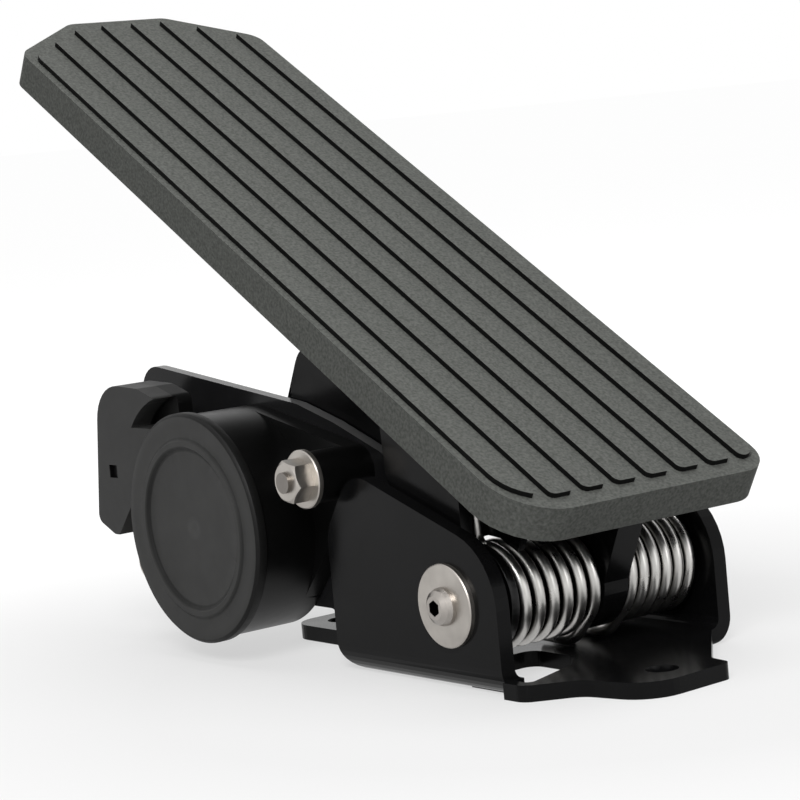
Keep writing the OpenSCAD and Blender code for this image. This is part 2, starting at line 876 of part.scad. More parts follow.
module torsion_spring_right() {
    from = inner_x - wire_r - 0.25;
    to = lug_end + wire_r + 0.05;
    color(steel)
        translate([0, 0, pivot_h])
            wire(spring_line(from, to, turns_right));
}

// Side view of one mounting ear of the housing, pointing along Y
module housing_ear_outline(gap) {
    polygon(taper(housing_r + gap, boss_r + gap, stud_pitch));
    translate([stud_pitch, 0])
        circle(r = boss_r + gap);
}

module sensor_housing() {
    color([0.07, 0.07, 0.07])
        on_sensor()
            difference() {
                union() {
                    rod(rim_x, -web_x, housing_r);
                    for (place = stud_places)
                        rotate([place[0], 0, 0]) {
                            across(-web_x - ear_flange_t, -web_x)
                                housing_ear_outline(0);
                            translate([0, stud_pitch, 0])
                                rod(-web_x - place[1], -web_x, boss_r);
                        }
                }
                rod(rim_x - over, -web_x - housing_back, cavity_r);
                rod(rim_x, -web_x + over, rotor_r + run_gap + bush_wall);
                for (place = stud_places)
                    rotate([place[0], 0, 0])
                        translate([0, stud_pitch, 0])
                            rod(-web_x - place[1] - over, -web_x + over, stud_hole_r);
            }
}

module sensor_bush() {
    color([0.62, 0.5, 0.3])
        on_sensor()
            difference() {
                rod(-web_x - housing_back, -web_x, rotor_r + run_gap + bush_wall);
                rod(-web_x - housing_back - over, -web_x + over, rotor_r + run_gap);
            }
}

module cap_seal() {
    color([0.05, 0.05, 0.05])
        on_sensor()
            turned_left([[cavity_r, -rim_x], [housing_r - 0.4, -rim_x],
                [housing_r - 0.4, seal_t - rim_x], [cavity_r, seal_t - rim_x]]);
}

// Height of the cap's spigot inside the housing
spigot_l = 3;

module sensor_cap() {
    seat = seal_t - rim_x;
    top = seat + cap_t;
    ring = cap_r * 0.74;
    color([0.27, 0.27, 0.26])
        on_sensor()
            turned_left([[0, seat], [cavity_r - 2.1, seat], [cavity_r - 2.1, seat - spigot_l],
                [cavity_r - 0.1, seat - spigot_l], [cavity_r - 0.1, seat], [cap_r, seat],
                [cap_r, top - 0.8], [cap_r - 0.8, top], [ring + 1.4, top - 0.2],
                [ring + 0.7, top + 0.5], [ring - 0.7, top + 0.5], [ring - 1.8, top - 0.6],
                [0, top - 1]]);
}

module circuit_board() {
    x = -rim_x - spigot_l + seal_t;
    color([0.1, 0.32, 0.16])
        on_sensor()
            rod(-x, -x + board_t, cavity_r - 0.2);
}

magnet_x = rim_x + spigot_l - seal_t + board_t + 1.2;

module sensor_magnet() {
    color([0.3, 0.3, 0.32])
        on_sensor()
            rod(magnet_x, magnet_x + magnet_t, magnet_r);
}

module sensor_shaft() {
    color(steel)
        on_sensor()
            rod(magnet_x + magnet_t, lever_x + hub_l, rotor_r);
}

module sensor_lever() {
    color([0.16, 0.16, 0.16])
        on_lever()
            difference() {
                union() {
                    across(lever_x + 0.5, lever_x + lever_t) {
                        polygon(taper(hub_r, tip_r, lever_l));
                        translate([lever_l, 0])
                            circle(r = tip_r);
                    }
                    rod(lever_x, lever_x + hub_l, hub_r);
                }
                rod(lever_x - over, lever_x + hub_l + over, rotor_r);
                translate([0, lever_l, 0])
                    rod(pin_x, lever_x + lever_t + over, pin_r);
            }
}

module roller_pin() {
    color(steel)
        on_lever()
            translate([0, lever_l, 0]) {
                rod(pin_x, roller_x + roller_w + side_gap, pin_r);
                rod(roller_x + roller_w + side_gap, roller_x + roller_w + side_gap + 1.2,
                    pin_r * 1.5);
            }
}

module lever_roller() {
    ease = 0.8;
    far = -roller_x;
    near = -roller_x - roller_w;
    color([0.12, 0.12, 0.12])
        on_lever()
            translate([0, lever_l, 0])
                turned_left([[pin_r + run_gap, near], [roller_r - ease, near],
                    [roller_r, near + ease], [roller_r, far - ease],
                    [roller_r - ease, far], [pin_r + run_gap, far]]);
}

// Gap between the connector block and the housing
block_gap = 0.1;

// Side view of the connector block, before the housing's room is taken from it
module block_outline() {
    top = block_low + block_h;
    polygon(rounded([[block_front, block_low, 2], [block_back - 9, block_low, 4],
        [block_back, block_low + 4, 3], [block_back - block_lean, top, block_round],
        [block_front + 10, top - 1, 4], [block_front, top - 4, 3]]));
}

socket_x = block_x + socket_wall;
socket_back = block_back - socket_depth;
socket_low = block_low + 4 + socket_wall;
socket_w = block_w - 2 * socket_wall;
socket_h = block_h - block_round - socket_wall - 6;

module connector_block() {
    recess_y = housing_r / 2 - 1;
    color([0.24, 0.24, 0.235])
        difference() {
            across(block_x, block_x + block_w)
                block_outline();
            on_sensor() {
                rod(block_x - over, block_x + block_w + over, housing_r + block_gap);
                rotate([rear_stud_angle, 0, 0])
                    across(block_x - over, block_x + block_w + over)
                        housing_ear_outline(block_gap);
                intersection() {
                    translate([0, recess_y, block_h - recess_r - 9])
                        rod(block_x - over, block_x + block_w * 0.62, recess_r);
                    translate([block_x - over, 0, recess_r - 0.5])
                        cube(housing_r * 2);
                }
            }
            translate([socket_x, socket_back, socket_low])
                cube([socket_w, socket_depth + over, socket_h]);
            translate([block_x - over, block_back - 14, socket_low + socket_h * 0.45])
                cube([socket_wall - 0.8 + over, 4.5, 4]);
        }
}

module contact_pins() {
    size = 1;
    first = socket_low + (socket_h - (pin_rows - 1) * pin_pitch - size) / 2;
    color([0.8, 0.65, 0.3])
        for (column = [-1, 1], row = [0:pin_rows - 1])
            translate([block_x + block_w / 2 + column * pin_gap / 2 - size / 2, socket_back,
                first + row * pin_pitch])
                cube([size, pin_l, size]);
}

// Puts a piece on the outer end of each of the sensor's two mounting bosses
module on_bosses() {
    on_sensor()
        for (place = stud_places)
            rotate([place[0], 0, 0])
                translate([-web_x - place[1], stud_pitch, 0])
                    children();
}

module sensor_studs() {
    tip = washer_t + nut_h + 1.2;
    color(steel)
        on_sensor()
            for (place = stud_places)
                rotate([place[0], 0, 0])
                    translate([0, stud_pitch, 0])
                        rod(-web_x - place[1] - tip, -web_x + web_t, stud_r);
}

module sensor_washers() {
    ease = 0.3;
    color(steel)
        on_bosses()
            turned_left([[stud_r, 0], [washer_r, 0], [washer_r, washer_t - ease],
                [washer_r - ease, washer_t], [stud_r, washer_t]]);
}

module sensor_nuts() {
    color(steel)
        on_bosses()
            translate([-washer_t, 0, 0])
                rotate([0, -90, 0])
                    difference() {
                        hexagon(nut_af, nut_h);
                        translate([0, 0, -over])
                            cylinder(h = nut_h + 2 * over, r = stud_r);
                    }
}

base_bracket();
sensor_bracket();
bracket_screws();
pivot_shaft();
pivot_bolt_left();
pivot_bolt_right();
pivot_washer_left();
pivot_washer_right();
spring_guide_left();
spring_guide_right();
torsion_spring_left();
torsion_spring_right();
sensor_housing();
sensor_cap();
cap_seal();
circuit_board();
connector_block();
contact_pins();
sensor_studs();
sensor_washers();
sensor_nuts();
sensor_bush();
treadle_plate();
treadle_pad();
hinge_bracket();
hinge_bush_left();
hinge_bush_middle();
treadle_screws();
actuator_cam();
sensor_shaft();
sensor_magnet();
sensor_lever();
roller_pin();
lever_roller();
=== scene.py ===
"""Look of the accelerator pedal: materials, smooth springs, fine detail, light and camera.

Metres, in the same frame as the CAD nodes: X across the pedal, Y from heel to toe, Z up.
"""

import json
import math

import bpy
from mathutils import Matrix, Vector

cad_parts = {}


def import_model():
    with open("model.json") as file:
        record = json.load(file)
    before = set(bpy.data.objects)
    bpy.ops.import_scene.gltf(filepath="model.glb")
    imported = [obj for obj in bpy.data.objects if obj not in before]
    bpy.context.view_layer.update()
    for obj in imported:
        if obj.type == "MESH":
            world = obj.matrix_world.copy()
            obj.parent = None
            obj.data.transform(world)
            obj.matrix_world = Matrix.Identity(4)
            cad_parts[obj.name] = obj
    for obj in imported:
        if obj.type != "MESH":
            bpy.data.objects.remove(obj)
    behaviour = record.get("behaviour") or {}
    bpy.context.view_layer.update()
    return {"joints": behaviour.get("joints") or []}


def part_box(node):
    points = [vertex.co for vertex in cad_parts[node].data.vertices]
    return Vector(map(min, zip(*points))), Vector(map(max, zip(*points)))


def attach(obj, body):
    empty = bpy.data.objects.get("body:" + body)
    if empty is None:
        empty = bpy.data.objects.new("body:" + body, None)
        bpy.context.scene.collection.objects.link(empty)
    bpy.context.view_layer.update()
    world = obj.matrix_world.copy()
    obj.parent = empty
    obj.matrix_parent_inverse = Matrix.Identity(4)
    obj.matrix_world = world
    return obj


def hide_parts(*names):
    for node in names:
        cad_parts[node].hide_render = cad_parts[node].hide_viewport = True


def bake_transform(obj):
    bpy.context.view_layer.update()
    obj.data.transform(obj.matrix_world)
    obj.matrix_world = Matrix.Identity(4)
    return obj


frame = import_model()

# Axes of the hinge and the sensor, from the frame's joints
JOINT_PLACES = {joint["name"]: joint["pos_m"] for joint in frame["joints"]}
PIVOT_Z = JOINT_PLACES["treadle_hinge"][2]
SENSOR_Y, SENSOR_Z = JOINT_PLACES["lever_hinge"][1:]
# Slope of the released treadle
TILT = math.radians(30.4)

# Torsion springs: radius of the wire, its share at the tips, and radius of the turns' middle line
WIRE_R = 0.00175
WIRE_END = 0.8
COIL_R = 0.0135
# Place of the upright leg beyond the hinge, length of the straight tips and reach of the bends
LEG_Y = 0.0034
LEG_L = 0.013
BEND_REACH = 0.004
# Where the lower leg leaves the turns, and the wire's gap to the saddle and to the floor plate
LEAVE_ANGLE = math.radians(225)
SEAT_GAP = 0.0003
# Full turns, and the steps of the mesh along each turn and around the wire
SPRING_TURNS = 5
RINGS_PER_TURN = 44
WIRE_SIDES = 16

# Thickness of the floor plate
SHEET_T = 0.0045
# Underside of the saddle and surface of the pad, as distances from the hinge across the treadle
SADDLE_LOW = 0.0306
PAD_TOP = 0.0451
# Painted shade on the ribs' side walls: their brightness as a share of the pad's
RIB_WALL_PAINTED_SHADE = 0.04

# Height above which the sensor bracket's upper edge gets a painted highlight
HIGHLIGHT_EDGE_Z = 0.03

# Outer face of the hinge bolts' heads, from the frame, and radius of their sockets
BOLT_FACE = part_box("pivot_bolt_right")[1].x
SOCKET_R = 0.0025

# Sensor cap and its raised ring
CAP_R = 0.0342
CAP_RING = CAP_R * 0.74

# Where the connector turns black, and its small pocket, which gets painted shade
CONNECTOR_SEAM = -0.0435
POCKET_X = (-0.0503, -0.0488)
POCKET_Y = (0.1499, 0.1548)
POCKET_Z = (0.0517, 0.0561)
POCKET_SOFT = 0.00005

# Collar on the treadle's middle lug and web beside the left spring's leg
LUG_LEFT = 0.001
LUG_RIGHT = 0.01
COLLAR_GAP = 0.0002
COLLAR_R = 0.0149
WEB_LEFT = -0.02495
WEB_T = 0.0024
WEB_OUTLINE = [
    (-0.003, SADDLE_LOW), (-0.003, 0.0163), (0.0045, 0.0157), (0.009, 0.0136),
    (0.0125, 0.0105), (0.015, 0.0065), (0.030, 0.009), (0.047, 0.019), (0.047, SADDLE_LOW),
]

# Eased edges: steps across an edge and the least angle that counts as one
EDGE_STEPS = 2
EDGE_ANGLE = math.radians(38)

# Camera found from the photo's straight edges: right, up and back, and its place
CAMERA_RIGHT = Vector((0.794237, -0.600444, -0.093031))
CAMERA_UP = Vector((0.136764, 0.027483, 0.990222))
CAMERA_BACK = Vector((-0.592016, -0.799194, 0.103947))
CAMERA_PLACE = Vector((-0.48915, -0.59130, 0.15740))
LENS = 126.02
FILM_WIDTH = 36

# Floor: its side, the near and far distance from the hinge between which it changes, its glow and
# its colour at the two, and the colour that unseen rays meet, which lights the object from below
# The glow is lower near the hinge than far away: a painted shadow around the object
FLOOR_SIZE = 60.0
FADE = (0.12, 0.44)
FLOOR_GLOW = (0.6, 0.95)
FLOOR_COLOUR = (0.23, 0.2)
FLOOR_BOUNCE = 0.5

# World light in front of the object and behind it, and the cosines between which it changes
WORLD_LIGHT = (0.12, 1.0)
WORLD_TURN = (0.55, 0.95)

# Sockets of a Mix node: both inputs and the output, for numbers and for colours
NUMBER_A, NUMBER_B, NUMBER_OUT = 2, 3, 0
COLOUR_A, COLOUR_B, COLOUR_OUT = 6, 7, 2


# Materials


def map_range(tree, value, source, result):
    """The value carried from the source range to the result range."""
    node = tree.nodes.new("ShaderNodeMapRange")
    node.inputs["From Min"].default_value, node.inputs["From Max"].default_value = source
    node.inputs["To Min"].default_value, node.inputs["To Max"].default_value = result
    tree.links.new(value, node.inputs["Value"])
    return node.outputs["Result"]


class Look:
    """A Principled material with helpers that add procedural detail to it."""

    def __init__(self, name, colour, roughness, metallic=0.0, specular=0.5):
        self.material = bpy.data.materials.new(name)
        self.material.use_nodes = True
        self.tree = self.material.node_tree
        self.shader = self.tree.nodes["Principled BSDF"]
        self.colour = colour
        self.shader.inputs["Base Color"].default_value = (*colour, 1)
        self.shader.inputs["Roughness"].default_value = roughness
        self.shader.inputs["Metallic"].default_value = metallic
        self.shader.inputs["Specular IOR Level"].default_value = specular
        self.position = self.add("ShaderNodeTexCoord").outputs["Object"]
        self.normal = None

    def add(self, kind, **settings):
        """A new node with the given settings."""
        node = self.tree.nodes.new(kind)
        for key, value in settings.items():
            setattr(node, key, value)
        return node

    def join(self, output, socket):
        """Links an output to an input socket."""
        self.tree.links.new(output, socket)

    def noise(self, scale, detail=3.0, stretch=(1, 1, 1)):
        """Noise with the given number of features in a metre."""
        source = self.position
        if stretch != (1, 1, 1):
            mapping = self.add("ShaderNodeMapping")
            mapping.inputs["Scale"].default_value = stretch
            self.join(self.position, mapping.inputs["Vector"])
            source = mapping.outputs["Vector"]
        noise = self.add("ShaderNodeTexNoise")
        noise.inputs["Scale"].default_value = scale
        noise.inputs["Detail"].default_value = detail
        self.join(source, noise.inputs["Vector"])
        return noise.outputs["Fac"]

    def ranged(self, value, low, high, start=0.3, end=0.7):
        """The value carried from start..end to low..high."""
        return map_range(self.tree, value, (start, end), (low, high))

    def shade(self, value, low, high):
        """Varies the base colour between two multiples of it."""
        node = self.add("ShaderNodeMix", data_type="RGBA")
        self.join(self.ranged(value, 0, 1), node.inputs["Factor"])
        for socket, factor in ((COLOUR_A, low), (COLOUR_B, high)):
            node.inputs[socket].default_value = (*(min(1.0, c * factor) for c in self.colour), 1)
        self.join(node.outputs[COLOUR_OUT], self.shader.inputs["Base Color"])

    def dot(self, vector, axis):
        """The length of the vector along the axis."""
        node = self.add("ShaderNodeVectorMath", operation="DOT_PRODUCT")
        node.inputs[1].default_value = axis
        self.join(vector, node.inputs[0])
        return node.outputs["Value"]

    def rib_wall_shade_mask(self):
        """1 on the upright faces above the pad's surface, else 0: the walls that get painted shade."""
        outward = (0, -math.sin(TILT), math.cos(TILT))
        height = self.dot(self.position, outward)
        surface = PIVOT_Z * math.cos(TILT) + PAD_TOP
        above = self.ranged(height, 0, 1, surface + 0.00002, surface + 0.0001)
        facing = self.dot(self.add("ShaderNodeTexCoord").outputs["Normal"], outward)
        return self.both(above, self.ranged(facing, 1, 0, 0.75, 0.97))

    def both(self, first, second):
        """The product of two masks."""
        node = self.add("ShaderNodeMath", operation="MULTIPLY")
        self.join(first, node.inputs[0])
        self.join(second, node.inputs[1])
        return node.outputs[0]

    def band(self, value, start, end, soft=0.0002):
        """1 where the value lies between start and end, else 0."""
        rise = self.ranged(value, 0, 1, start - soft, start + soft)
        return self.both(rise, self.ranged(value, 1, 0, end - soft, end + soft))

    def axis_radius(self, y, z):
        """Distance from an axis across the pedal, through the given place."""
        node = self.add("ShaderNodeVectorMath", operation="MULTIPLY_ADD")
        node.inputs[1].default_value = (0, 1, 1)
        node.inputs[2].default_value = (0, -y, -z)
        self.join(self.position, node.inputs[0])
        length = self.add("ShaderNodeVectorMath", operation="LENGTH")
        self.join(node.outputs[0], length.inputs[0])
        return length.outputs["Value"]

    def top_edges(self, above):
        """1 on the faces that look up and lie above the given height, else 0."""
        height = self.ranged(self.dot(self.position, (0, 0, 1)), 0, 1, above, above + 0.001)
        facing = self.dot(self.add("ShaderNodeTexCoord").outputs["Normal"], (0, 0, 1))
        return self.both(height, self.ranged(facing, 0, 1, 0.6, 0.9))

    def tint(self, mask, colour, blend_type="MIX"):
        """Turns the base colour to another where the mask is 1."""
        base = self.shader.inputs["Base Color"]
        node = self.add("ShaderNodeMix", data_type="RGBA", blend_type=blend_type)
        self.join(mask, node.inputs["Factor"])
        self.join(base.links[0].from_socket, node.inputs[COLOUR_A])
        node.inputs[COLOUR_B].default_value = (*colour, 1)
        self.join(node.outputs[COLOUR_OUT], base)

    def darken(self, mask, factor):
        """Multiplies the base colour by the factor where the mask is 1."""
        self.tint(mask, (factor, factor, factor), "MULTIPLY")

    def gloss(self, value, low, high):
        """Varies the roughness between two values."""
        self.join(self.ranged(value, low, high), self.shader.inputs["Roughness"])

    def bump(self, value, height, strength=1.0):
        """Relief of the given height in metres."""
        node = self.add("ShaderNodeBump")
        node.inputs["Strength"].default_value = strength
        node.inputs["Distance"].default_value = height
        self.join(value, node.inputs["Height"])
        if self.normal is not None:
            self.join(self.normal, node.inputs["Normal"])
        self.normal = node.outputs["Normal"]
        self.join(self.normal, self.shader.inputs["Normal"])
        return self


def pad_rubber():
    """Finely grained rubber, with painted shade on the walls where the ribs stand on the pad."""
    look = Look("PadRubber", (0.077, 0.08, 0.074), 0.68, specular=0.08)
    look.shade(look.noise(1150, 2), 0.72, 1.28)
    # painted shade on the ribs' side walls
    look.darken(look.rib_wall_shade_mask(), RIB_WALL_PAINTED_SHADE)
    look.gloss(look.noise(420), 0.6, 0.78)
    return look.bump(look.noise(1900, 2), 0.00006, 0.6)


def powder_coat(name="PowderCoat", level=0.004):
    """Black paint with a soft gloss, of the given base level."""
    look = Look(name, (level, level, level * 1.05), 0.2, specular=0.09)
    look.shade(look.noise(60), 0.85, 1.2)
    look.gloss(look.noise(90, 4), 0.16, 0.24)
    return look.bump(look.noise(1400, 1), 0.00004, 0.25)


def highlight_edge_coat():
    """The same coat, with a painted highlight on the upward faces along the sheet's upper edge."""
    look = powder_coat("HighlightEdgeCoat", 0.01)
    # painted highlight on the upward faces of the upper edge
    look.tint(look.top_edges(HIGHLIGHT_EDGE_Z), (0.14, 0.14, 0.14))
    return look


def brushed(name, colour, roughness, stretch, relief=0.2):
    """Metal with fine streaks, drawn out along the axis whose stretch is small."""
    look = Look(name, colour, roughness, metallic=1.0)
    streaks = look.noise(900, 3, stretch)
    look.shade(look.noise(150, 4), 0.88, 1.08)
    look.gloss(streaks, roughness - 0.05, roughness + 0.08)
    return look.bump(streaks, 0.00001, relief)


def spring_steel():
    """Bright on the outer crest of the turns, with painted shade on the wire between them."""
    look = brushed("SpringSteel", (0.55, 0.54, 0.52), 0.3, (0.2, 0.2, 0.2), 0.04)
    radius = look.axis_radius(0, PIVOT_Z)
    # painted shade on the wire's sides that face the neighbouring turns
    look.darken(look.ranged(radius, 1, 0, COIL_R - WIRE_R * 0.1, COIL_R + WIRE_R * 0.45), 0.08)
    return look


def bolt_steel():
    """Zinc-plated steel with painted shade inside the socket."""
    look = brushed("BoltSteel", (0.38, 0.355, 0.33), 0.32, (1, 0.15, 0.15))
    inside = look.ranged(look.axis_radius(0, PIVOT_Z), 1, 0, SOCKET_R - 0.0001, SOCKET_R + 0.0001)
    outward = look.add("ShaderNodeMath", operation="ABSOLUTE")
    look.join(look.dot(look.position, (1, 0, 0)), outward.inputs[0])
    below = look.ranged(outward.outputs[0], 1, 0, BOLT_FACE - 0.0003, BOLT_FACE - 0.0001)
    # painted shade inside the socket, below the head's outer face
    look.darken(look.both(inside, below), 0.03)
    return look


def plastic(name, colour, roughness, grain=2200, specular=0.15):
    """Moulded plastic with a fine grain."""
    look = Look(name, colour, roughness, specular=specular)
    look.shade(look.noise(110, 4), 0.9, 1.12)
    look.gloss(look.noise(320), roughness - 0.01, roughness + 0.02)
    return look.bump(look.noise(grain, 1), 0.00002, 0.25)


def cap_plastic():
    """Grey plastic with a black outer edge and painted shade at the feet beside the raised ring."""
    look = plastic("GreyPlastic", (0.03, 0.03, 0.0292), 0.5)
    radius = look.axis_radius(SENSOR_Y, SENSOR_Z)
    # painted shade at the feet on both sides of the raised ring
    look.darken(look.band(radius, CAP_RING - 0.0024, CAP_RING - 0.001), 0.35)
    look.darken(look.band(radius, CAP_RING + 0.001, CAP_RING + 0.0018), 0.6)
    look.darken(look.ranged(radius, 0, 1, CAP_R - 0.0012, CAP_R - 0.0008), 0.15)
    return look


def connector_plastic():
    """Grey plastic that turns black on the half beside the sensor bracket, with painted shade in its small
    pocket.
    """
    look = plastic("ConnectorPlastic", (0.027, 0.027, 0.0265), 0.5, 1500)
    x, y, z = (look.dot(look.position, axis) for axis in ((1, 0, 0), (0, 1, 0), (0, 0, 1)))
    look.darken(look.ranged(x, 0, 1, CONNECTOR_SEAM - 0.0002, CONNECTOR_SEAM), 0.08)
    # painted shade inside the small pocket
    opening = look.both(look.band(y, *POCKET_Y, POCKET_SOFT), look.band(z, *POCKET_Z, POCKET_SOFT))
    look.darken(look.both(opening, look.band(x, *POCKET_X, POCKET_SOFT)), 0.05)
    return look


LOOKS = {
    "pad_rubber": pad_rubber(),
    "powder_coat": powder_coat(),
    "highlight_edge_coat": highlight_edge_coat(),
    "zinc_steel": brushed("ZincSteel", (0.42, 0.395, 0.365), 0.36, (1, 0.15, 0.15)),
    "spring_steel": spring_steel(),
    "bolt_steel": bolt_steel(),
    "stud_steel": brushed("StudSteel", (0.2, 0.185, 0.17), 0.3, (1, 0.15, 0.15)),
    "black_plastic": plastic("BlackPlastic", (0.002, 0.002, 0.002), 0.34, specular=0.22),
    "grey_plastic": cap_plastic(),
    "connector_plastic": connector_plastic(),
    "seal_rubber": plastic("SealRubber", (0.006, 0.006, 0.006), 0.6, 1200),
    "board_green": plastic("BoardGreen", (0.01, 0.09, 0.03), 0.3, 700),
    "contact_brass": brushed("ContactBrass", (0.6, 0.42, 0.14), 0.3, (1, 0.2, 1)),
    "bush_bronze": brushed("BushBronze", (0.38, 0.25, 0.11), 0.38, (1, 0.3, 0.3)),
    "magnet_ferrite": plastic("MagnetFerrite", (0.06, 0.06, 0.065), 0.62, 500),
}

SLOT_NODES = {
    "powder_coat": ["base_bracket", "treadle_plate", "hinge_bracket", "sensor_lever"],
    "highlight_edge_coat": ["sensor_bracket"],
    "zinc_steel": [
        "bracket_screws", "pivot_shaft", "pivot_washer_left", "pivot_washer_right",
        "sensor_washers", "sensor_nuts", "treadle_screws", "sensor_shaft", "roller_pin",
    ],
    "bolt_steel": ["pivot_bolt_left", "pivot_bolt_right"],
    "stud_steel": ["sensor_studs"],
    "black_plastic": [
        "spring_guide_left", "spring_guide_right", "sensor_housing", "actuator_cam", "lever_roller",
    ],
    "grey_plastic": ["sensor_cap"],
    "connector_plastic": ["connector_block"],
    "seal_rubber": ["cap_seal"],
    "board_green": ["circuit_board"],
    "contact_brass": ["contact_pins"],
    "bush_bronze": ["sensor_bush", "hinge_bush_left", "hinge_bush_middle"],
    "pad_rubber": ["treadle_pad"],
    "magnet_ferrite": ["sensor_magnet"],
}

# Width of the eased edges of each CAD node, in metres
EDGE_WIDTHS = {
    "base_bracket": 0.0006,
    "sensor_bracket": 0.0005,
    "hinge_bracket": 0.0004,
    "treadle_pad": 0.00035,
    "sensor_cap": 0.00025,
    "connector_block": 0.0004,
    "sensor_lever": 0.0004,
    "actuator_cam": 0.0003,
    "spring_guide_left": 0.0003,
}


def dress(name, look):
    """Gives a CAD node its material."""
    node = bpy.data.objects[name]
    node.data.materials.clear()
    node.data.materials.append(look.material)


def ease_edges(node, width):
    """Rounds the sharp edges of a CAD node."""
    weld = node.modifiers.new("Join", "WELD")
    weld.merge_threshold = 0.000002
    bevel = node.modifiers.new("Edges", "BEVEL")
    bevel.width = width
    bevel.segments = EDGE_STEPS
    bevel.limit_method = "ANGLE"
    bevel.angle_limit = EDGE_ANGLE
    bevel.harden_normals = True


# Meshes


def mesh_piece(name, points, faces, look):
    """A smooth mesh object with one material."""
    mesh = bpy.data.meshes.new(name)
    mesh.from_pydata([tuple(p) for p in points], [], faces)
    mesh.validate()
    mesh.shade_smooth()
    mesh.materials.append(look.material)
    piece = bpy.data.objects.new(name, mesh)
    bpy.context.scene.collection.objects.link(piece)
    return piece


def sweep(line, radii, sides):
    """Points and faces of a round bar along a line, with a radius at each point and closed ends."""
    points, faces = [], []
    last = len(line) - 1
    for i, spot in enumerate(line):
        along = (line[min(i + 1, last)] - line[max(i - 1, 0)]).normalized()
        out = along.cross(Vector((1, 0, 0))).normalized()
        up = along.cross(out)
        for k in range(sides):
            a = 2 * math.pi * k / sides
            points.append(spot + radii[i] * (math.cos(a) * out + math.sin(a) * up))
    for i in range(last):
        for k in range(sides):
            n = (k + 1) % sides
            faces.append((i * sides + k, i * sides + n, (i + 1) * sides + n, (i + 1) * sides + k))
    faces.append(tuple(reversed(range(sides))))
    faces.append(tuple(last * sides + k for k in range(sides)))
    return points, faces


def eased(corners, reach, steps=10):
    """A line whose inner corners are rounded by curves of the given reach."""
    line = [corners[0]]
    for before, corner, after in zip(corners, corners[1:], corners[2:]):
        start = corner + (before - corner).normalized() * reach
        end = corner + (after - corner).normalized() * reach
        for k in range(steps + 1):
            s = k / steps
            line.append((1 - s) ** 2 * start + 2 * s * (1 - s) * corner + s * s * end)
    line.append(corners[-1])
    return line


def spring_line(x_leg, x_foot, turns):
    """Middle line of a torsion spring, from the treadle's leg to the floor plate's leg."""
    seat = SADDLE_LOW - WIRE_R - SEAT_GAP
    u = (LEG_Y + seat * math.sin(TILT)) / math.cos(TILT)
    leg_z = u * math.sin(TILT) + seat * math.cos(TILT)
    foot_z = SHEET_T + WIRE_R + SEAT_GAP - PIVOT_Z
    off_y, off_z = COIL_R * math.cos(LEAVE_ANGLE), COIL_R * math.sin(LEAVE_ANGLE)
    foot_y = off_y + off_z - foot_z
    sweep_angle = LEAVE_ANGLE - math.pi / 2 + 2 * math.pi * turns
    steps = round(sweep_angle / (2 * math.pi) * RINGS_PER_TURN)
    head = eased([
        Vector((x_leg, LEG_Y + LEG_L * math.cos(TILT), leg_z + LEG_L * math.sin(TILT))),
        Vector((x_leg, LEG_Y, leg_z)),
        Vector((x_leg, LEG_Y, COIL_R)),
        Vector((x_leg, 0, COIL_R)),
    ], BEND_REACH)
    coil = []
    for k in range(1, steps):
        a = math.pi / 2 + sweep_angle * k / steps
        x = x_leg + (x_foot - x_leg) * k / steps
        coil.append(Vector((x, COIL_R * math.cos(a), COIL_R * math.sin(a))))
    tail = eased([
        Vector((x_foot, off_y, off_z)),
        Vector((x_foot, foot_y, foot_z)),
        Vector((x_foot, foot_y + LEG_L, foot_z)),
    ], BEND_REACH)
    return [p + Vector((0, 0, PIVOT_Z)) for p in head + coil + tail]


def spring(node, turns, leg_on_left):
    """A smooth spring in place of the CAD one, wound up between the treadle and the base."""
    low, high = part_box(node)
    left, right = low.x + WIRE_R, high.x - WIRE_R
    x_leg, x_foot = (left, right) if leg_on_left else (right, left)
    line = spring_line(x_leg, x_foot, turns)
    radii = [WIRE_R] * len(line)
    radii[0] = radii[-1] = WIRE_R * WIRE_END
    piece = mesh_piece(f"{node}.wire", *sweep(line, radii, WIRE_SIDES), LOOKS["spring_steel"])
    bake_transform(piece)
    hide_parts(node)


def on_treadle(u, n):
    """A place in the treadle's side view, as Y and Z of the released treadle."""
    return u * math.cos(TILT) - n * math.sin(TILT), PIVOT_Z + u * math.sin(TILT) + n * math.cos(TILT)


def side_plate(name, left, right, outline, look):
    """A flat plate across the pedal's axis, drawn as its side view on the treadle."""
    count = len(outline)
    spots = [on_treadle(u, n) for u, n in outline]
    points = [(x, *spot) for x in (left, right) for spot in spots]
    faces = [tuple(reversed(range(count))), tuple(range(count, 2 * count))]
    for k in range(count):
        n = (k + 1) % count
        faces.append((k, n, count + n, count + k))
    piece = mesh_piece(name, points, faces, look)
    piece.data.shade_flat()
    return piece


def circle_outline(radius, steps=72):
    """A circle about the hinge, as an outline for side_plate."""
    angles = [2 * math.pi * k / steps for k in range(steps)]
    return [(radius * math.cos(a), radius * math.sin(a)) for a in angles]


def treadle_details():
    """The collar on the middle lug and the web beside the left spring's leg."""
    coat = LOOKS["powder_coat"]
    left, right = LUG_LEFT + COLLAR_GAP, LUG_RIGHT - COLLAR_GAP
    pieces = [
        side_plate("LugCollar", left, right, circle_outline(COLLAR_R), coat),
        side_plate("SpringWeb", WEB_LEFT, WEB_LEFT + WEB_T, WEB_OUTLINE, coat),
    ]
    for piece in pieces:
        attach(piece, "treadle")


# Stage


def seen_rays(tree):
    """1 for the camera's rays and for those that metal reflects or glass lets through, else 0."""
    path = tree.nodes.new("ShaderNodeLightPath")
    total = path.outputs["Is Camera Ray"]
    for kind in ("Is Glossy Ray", "Is Transmission Ray"):
        either = tree.nodes.new("ShaderNodeMath")
        either.operation = "ADD"
        either.use_clamp = True
        tree.links.new(total, either.inputs[0])
        tree.links.new(path.outputs[kind], either.inputs[1])
        total = either.outputs[0]
    return total


